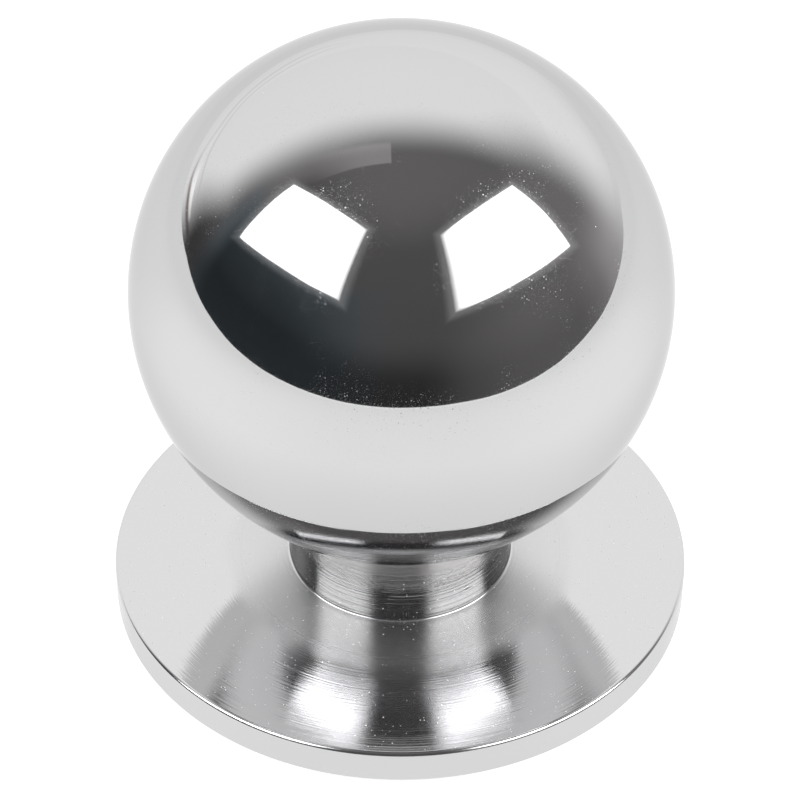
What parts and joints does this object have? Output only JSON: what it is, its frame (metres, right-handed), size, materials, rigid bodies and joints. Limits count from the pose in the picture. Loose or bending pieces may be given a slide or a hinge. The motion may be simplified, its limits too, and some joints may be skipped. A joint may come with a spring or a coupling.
{
  "type": "ball knob",
  "caption": "Furniture knob: a mirror polished ball on a short turned neck with a round flat base plate and a tapped hole underneath.",
  "frame": {"origin": "middle of the base plate's flat underside", "axes": "+Z along the knob's turning axis, from the underside to the top of the ball; X and Y are free, because the knob is round"},
  "size_m": [0.0333, 0.0332, 0.0364],
  "materials": {
    "turned_metal": "fine turned, part polished",
    "polished_metal": "mirror polished"
  },
  "bodies": {
    "root": {"base": "turned_metal", "ball": "polished_metal"}
  },
  "joints": []
}
